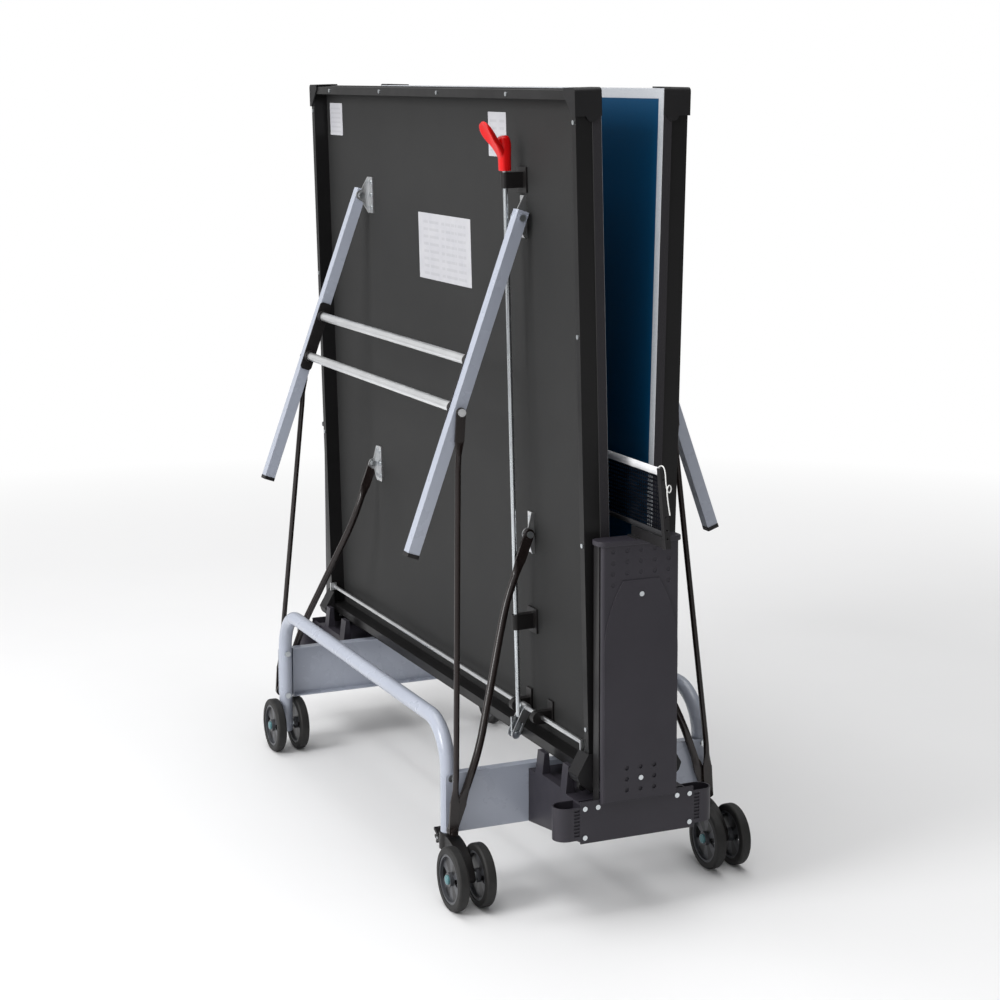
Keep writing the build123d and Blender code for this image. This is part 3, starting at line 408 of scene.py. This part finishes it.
# name: place up the board, place across, width, height, rows of line work
LABELS = {"sheet": (1.0135, -0.0085, 0.301, 0.149, 9),
          "corner": (1.2875, 0.6755, 0.089, 0.079, 7),
          "lock": (1.274, -0.316, 0.092, 0.092, 6)}
for side in SIDES:
    turn = half_matrix(side)
    for name, (u, y, w, h, rows) in LABELS.items():
        mesh = rounded_slab((h, w, 0.0004), 0.002)
        mesh.transform(turn @ Matrix.Translation((u, y, BOARD)))
        paper = label_material(side, name, u, y, w, h, rows)
        add_object(f"label_{name}_{side}", mesh, paper, f"top_{side}", smooth=False)


# ---------------------------------------------------------------- red handle: stem and blade
def between(a, b, c, d, t):
    """Smooth value at t between b and c, with a and d as the neighbours."""
    return 0.5 * (2 * b + (c - a) * t + (2 * a - 5 * b + 4 * c - d) * t * t
                  + (3 * b - a - 3 * c + d) * t ** 3)


def smooth_rows(rows, per=5):
    """Rows of numbers, filled in between with a smooth curve through them."""
    out = []
    for i in range(len(rows) - 1):
        p0, p1, p2, p3 = rows[max(i - 1, 0)], rows[i], rows[i + 1], rows[min(i + 2, len(rows) - 1)]
        for step in range(per):
            out.append([between(*values, step / per) for values in zip(p0, p1, p2, p3)])
    out.append(list(rows[-1]))
    return out


def swept_bar(bm, rows, count=28):
    """A closed bar with one ring of points for each row.

    A row says: place up the board, place behind it, width, thickness, how far the sides curl down.
    """
    rings = []
    for i, (u, v, wide, thick, curl) in enumerate(rows):
        a, b = rows[max(i - 1, 0)], rows[min(i + 1, len(rows) - 1)]
        along = Vector((b[0] - a[0], 0, b[1] - a[1])).normalized()
        out = Vector((along.z, 0, -along.x))
        ring = []
        for j in range(count):
            angle = 2 * math.pi * j / count
            cy, sy = math.cos(angle), math.sin(angle)
            y = wide / 2 * math.copysign(abs(cy) ** 0.6, cy)
            n = thick / 2 * math.copysign(abs(sy) ** 0.6, sy) + curl * (2 * y / wide) ** 2
            ring.append(bm.verts.new(Vector((u, y + LOCK_Y, v)) - out * n))
        rings.append(ring)
    for a, b in zip(rings, rings[1:]):
        for j in range(count):
            bm.faces.new((a[j], a[(j + 1) % count], b[(j + 1) % count], b[j]))
    bm.faces.new(list(reversed(rings[0])))
    bm.faces.new(rings[-1])


STEM = [(1.206, 0.060, 0.022, 0.019, 0.0), (1.208, 0.060, 0.0255, 0.0225, 0.0),
        (1.235, 0.060, 0.0265, 0.0235, 0.0), (1.258, 0.060, 0.0285, 0.0245, 0.0),
        (1.270, 0.062, 0.0275, 0.0215, 0.0), (1.275, 0.063, 0.020, 0.014, 0.0)]
BLADE = [(1.232, 0.064, 0.022, 0.015, 0.0), (1.246, 0.070, 0.028, 0.015, 0.001),
         (1.259, 0.076, 0.035, 0.013, 0.004), (1.271, 0.082, 0.042, 0.011, 0.008),
         (1.283, 0.088, 0.047, 0.009, 0.010), (1.294, 0.095, 0.046, 0.007, 0.009),
         (1.302, 0.102, 0.036, 0.005, 0.005), (1.3045, 0.105, 0.020, 0.003, 0.001)]


def handle(side):
    """Red handle on the end of the pull rod."""
    bm = bmesh.new()
    swept_bar(bm, smooth_rows(STEM))
    swept_bar(bm, smooth_rows(BLADE))
    bmesh.ops.recalc_face_normals(bm, faces=bm.faces)
    mesh = bpy.data.meshes.new(f"grip_{side}")
    bm.to_mesh(mesh)
    bm.free()
    mesh.transform(half_matrix(side))
    obj = add_object(f"grip_{side}", mesh, RED, f"lock_pull_{side}")
    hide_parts(f"lock_handle_{side}")


for side in SIDES:
    handle(side)

# ---------------------------------------------------------------- net: mesh, white tape and dark band
low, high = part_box("net")
NET_TOP, NET_LOW = high.z, low.z
NET_WIDE, NET_NARROW = high.y, high.y - (NET_TOP - NET_LOW) * NET_TAPER


def net_edge(z):
    """Half the net's width at a height."""
    return NET_WIDE + (NET_NARROW - NET_WIDE) * (z - NET_LOW) / (NET_TOP - NET_LOW)


def net_strip(name, z0, z1, thickness, material, rows=10, columns=120):
    """A strip of the net between two heights, cut to the lean of the posts."""
    bm = bmesh.new()
    grid = []
    for j in range(rows + 1):
        z = z0 + (z1 - z0) * j / rows
        edge = net_edge(z)
        row = []
        for i in range(columns + 1):
            t = i / columns
            wave = 0.0004 * math.sin(t * 37) * math.sin(j / rows * math.pi)
            row.append(bm.verts.new((wave if thickness == 0 else 0, -edge + 2 * edge * t, z)))
        grid.append(row)
    for j in range(rows):
        for i in range(columns):
            bm.faces.new((grid[j][i], grid[j][i + 1], grid[j + 1][i + 1], grid[j + 1][i]))
    mesh = bpy.data.meshes.new(name)
    bm.to_mesh(mesh)
    bm.free()
    obj = add_object(name, mesh, material, "carriage")
    if thickness:
        solid = obj.modifiers.new("thick", "SOLIDIFY")
        solid.thickness = thickness
        solid.offset = 0
    return obj


def weave(name, a, b):
    """Woven tape."""
    m = Mat(name, a, 0.75)
    m.tint(a, b, 25)
    m.bump(m.noise(900, 2, (1, 1, 3)), 0.0002, 0.8)
    return m.mat


def net_material():
    """Square mesh: opaque strands, a share of the pitch wide, and clear holes."""
    m = Mat("net_mesh", (0.02, 0.03, 0.04), 0.8)
    m.tint((0.003, 0.0035, 0.005), (0.007, 0.008, 0.011), 40)
    m.shine(0.0)
    strands = None
    for direction in ((0, 1, 0), (0, 0, 1)):
        cell = m.math("FRACT", m.math("MULTIPLY", m.math("ADD", m.dot(direction), 3.0), 1 / NET_PITCH))
        strand = m.math("LESS_THAN", cell, NET_STRAND)
        strands = strand if strands is None else m.math("MAXIMUM", strands, strand)
    m.link(strands, m.bsdf.inputs["Alpha"])
    return m.mat


TAPE = weave("white_tape", (0.66, 0.66, 0.68), (0.76, 0.76, 0.77))
BAND = weave("dark_band", (0.014, 0.014, 0.016), (0.025, 0.025, 0.028))
net = net_strip("net_sheet", NET_LOW, NET_TOP, 0, net_material())
tape = net_strip("net_tape", NET_TOP - TAPE_HEIGHT, NET_TOP, 0.0015, TAPE, 2)
band = net_strip("net_band", NET_LOW, NET_LOW + BAND_HEIGHT, 0.0014, BAND, 2)
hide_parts("net")

# ---------------------------------------------------------------- net cord
# millimetres, from the end of the net over the post and down, with one loose bow
CORD_ROUTE = [(0.5, -877, 914), (0.8, -884, 917.2), (1.5, -891, 918), (2.5, -896.5, 912),
              (3, -899, 900), (3, -900.5, 886), (4, -902, 874), (8.5, -903, 866),
              (13, -903.5, 872), (12, -904.5, 881), (6, -906, 884), (1.5, -907, 876),
              (2.5, -907.5, 860), (4.5, -908.5, 845), (7, -910, 826)]
curve = bpy.data.curves.new("net_cord_line", "CURVE")
curve.dimensions = "3D"
spline = curve.splines.new("NURBS")
spline.points.add(len(CORD_ROUTE) - 1)
for point, place in zip(spline.points, CORD_ROUTE):
    point.co = (place[0] / 1000, place[1] / 1000, place[2] / 1000, 1)
spline.order_u = 4
spline.use_endpoint_u = True
spline.resolution_u = 12
curve.bevel_depth = 0.0012
curve.bevel_resolution = 4
curve.use_fill_caps = True
cord = bpy.data.objects.new("net_cord_soft", curve)
bpy.context.scene.collection.objects.link(cord)
braid = Mat("braided_cord", (0.72, 0.72, 0.70), 0.8)
braid.tint((0.66, 0.66, 0.65), (0.80, 0.80, 0.78), 300)
braid.bump(braid.noise(1500, 2), 0.0002, 0.8)
curve.materials.append(braid.mat)
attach(cord, "carriage")
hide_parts("net_cord")

# ---------------------------------------------------------------- wheel caps
# radius and height of each ring of the cap, from the wheel outward
CAP_RINGS = ((0.0096, 0.0), (0.0096, 0.0028), (0.0086, 0.0038), (0.0060, 0.0043), (0.0025, 0.0045))
CAP_GAP = 0.0003


def wheel_cap(name, x, y, outward, body):
    """Low domed cap over the axle end."""
    bm = bmesh.new()
    rings, steps = [], 32
    for r, d in CAP_RINGS:
        angles = [2 * math.pi * i / steps for i in range(steps)]
        rings.append([bm.verts.new((x + outward * d, y + r * math.cos(angle),
                                    WHEEL_AXLE_Z + r * math.sin(angle))) for angle in angles])
    for a, b in zip(rings, rings[1:]):
        for i in range(steps):
            bm.faces.new((a[i], a[(i + 1) % steps], b[(i + 1) % steps], b[i]))
    bm.faces.new(rings[-1])
    bmesh.ops.recalc_face_normals(bm, faces=bm.faces)
    mesh = bpy.data.meshes.new(name)
    bm.to_mesh(mesh)
    bm.free()
    return add_object(name, mesh, TEAL, body)


# third colour: painted highlight on the cap's sharp edges
TEAL = moulded("teal_cap", (0.06, 0.17, 0.19), (0.08, 0.21, 0.23), (0.2, 0.35, 0.36), (0.3, 0.4))
for side, k in SIDES.items():
    for end in ("near", "far"):
        for place, outward in (("outer", -k), ("inner", k)):
            low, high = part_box(f"wheel_{end}_{side}_{place}")
            x = high.x if outward > 0 else low.x
            wheel_cap(f"wheel_cap_{end}_{side}_{place}", x + outward * CAP_GAP,
                      (low.y + high.y) / 2, outward, "carriage" if end == "far" else f"caster_{side}")


# ---------------------------------------------------------------- camera
CAMERA_PLACE = Vector((-1.919285, -4.490474, 1.653484))
CAMERA_YAW, CAMERA_PITCH, CAMERA_ROLL = 23.779, 7.209, -0.156
CAMERA_LENS, CAMERA_SHIFT = 78.905628, -0.15


def look(camera, place, yaw, pitch, roll):
    """Aim the camera: yaw from +Y towards +X, pitch downward, roll about the view, in degrees."""
    a, b, r = math.radians(yaw), math.radians(pitch), math.radians(roll)
    forward = Vector((math.sin(a) * math.cos(b), math.cos(a) * math.cos(b), -math.sin(b)))
    right = Vector((math.cos(a), -math.sin(a), 0))
    up = right.cross(forward)
    right, up = right * math.cos(r) + up * math.sin(r), up * math.cos(r) - right * math.sin(r)
    turn = Matrix((right, up, -forward)).transposed().to_4x4()
    camera.matrix_world = Matrix.Translation(place) @ turn


scene = bpy.context.scene
cam_data = bpy.data.cameras.new("camera")
camera = bpy.data.objects.new("camera", cam_data)
scene.collection.objects.link(camera)
cam_data.sensor_width = 36
cam_data.lens = CAMERA_LENS
cam_data.shift_y = CAMERA_SHIFT
cam_data.clip_end = 200
look(camera, CAMERA_PLACE, CAMERA_YAW, CAMERA_PITCH, CAMERA_ROLL)
scene.camera = camera

# ---------------------------------------------------------------- floor, fading to white away from the table
FLOOR_HALF = 40
FADE_START, FADE_END = 1.9, 4.6

floor_mesh = bpy.data.meshes.new("floor")
corners = [(x * FLOOR_HALF, y * FLOOR_HALF, 0) for x, y in ((-1, -1), (1, -1), (1, 1), (-1, 1))]
floor_mesh.from_pydata(corners, [], [(0, 1, 2, 3)])
floor = bpy.data.objects.new("floor", floor_mesh)
scene.collection.objects.link(floor)
floor_mat = Mat("floor_matt", (0.8, 0.8, 0.8), 0.6)
floor_mat.tint((0.77, 0.77, 0.775), (0.79, 0.79, 0.795), 0.8)
reach = floor_mat.nodes.new("ShaderNodeVectorMath")
reach.operation = "LENGTH"
floor_mat.link(floor_mat.coords, reach.inputs[0])
glow = floor_mat.nodes.new("ShaderNodeEmission")
glow.inputs["Color"].default_value = (1, 1, 1, 1)
fade = floor_mat.nodes.new("ShaderNodeMixShader")
seen_floor = floor_mat.nodes.new("ShaderNodeLightPath")
far_away = floor_mat.ramp(reach.outputs["Value"], FADE_START, FADE_END)
fade_amount = floor_mat.math("MULTIPLY", far_away, seen_floor.outputs["Is Camera Ray"])
floor_mat.link(fade_amount, fade.inputs["Fac"])
floor_mat.link(floor_mat.bsdf.outputs["BSDF"], fade.inputs[1])
floor_mat.link(glow.outputs["Emission"], fade.inputs[2])
floor_mat.link(fade.outputs["Shader"], floor_mat.nodes["Material Output"].inputs["Surface"])
floor_mesh.materials.append(floor_mat.mat)

# ---------------------------------------------------------------- studio light, stronger from the left and above
LIGHT_SLOPE = (-0.46, 0.06, 0.24)
LIGHT_LEVEL, LIGHT_LEAST = 0.42, 0.06

world = bpy.data.worlds.new("studio")
scene.world = world
world.use_nodes = True
sky = world.node_tree
background = sky.nodes["Background"]
background.inputs["Color"].default_value = (1, 1, 1, 1)
direction = sky.nodes.new("ShaderNodeTexCoord")
slope = sky.nodes.new("ShaderNodeVectorMath")
slope.operation = "DOT_PRODUCT"
slope.inputs[1].default_value = LIGHT_SLOPE
sky.links.new(direction.outputs["Generated"], slope.inputs[0])
level = sky.nodes.new("ShaderNodeMath")
level.operation = "ADD"
level.inputs[1].default_value = LIGHT_LEVEL
sky.links.new(slope.outputs["Value"], level.inputs[0])
least = sky.nodes.new("ShaderNodeMath")
least.operation = "MAXIMUM"
least.inputs[1].default_value = LIGHT_LEAST
sky.links.new(level.outputs[0], least.inputs[0])
path = sky.nodes.new("ShaderNodeLightPath")
seen = sky.nodes.new("ShaderNodeMix")
seen.data_type = "FLOAT"
seen.inputs["B"].default_value = 1.0
sky.links.new(path.outputs["Is Camera Ray"], seen.inputs["Factor"])
sky.links.new(least.outputs[0], seen.inputs["A"])
sky.links.new(seen.outputs["Result"], background.inputs["Strength"])


def area_light(name, place, target, size, power):
    """A soft rectangular light, aimed at a point."""
    data = bpy.data.lights.new(name, "AREA")
    data.shape = "RECTANGLE"
    data.size, data.size_y = size
    data.energy = power
    obj = bpy.data.objects.new(name, data)
    scene.collection.objects.link(obj)
    obj.location = place
    obj.rotation_euler = (Vector(target) - Vector(place)).to_track_quat("-Z", "Y").to_euler()


area_light("key", (-5.0, -1.2, 3.4), (0, 0, 0.9), (2.6, 2.6), 215)
area_light("top", (0, 0, 5.5), (0, 0, 0), (5, 5), 205)

scene.view_settings.view_transform = "Standard"
scene.view_settings.exposure = 0.0
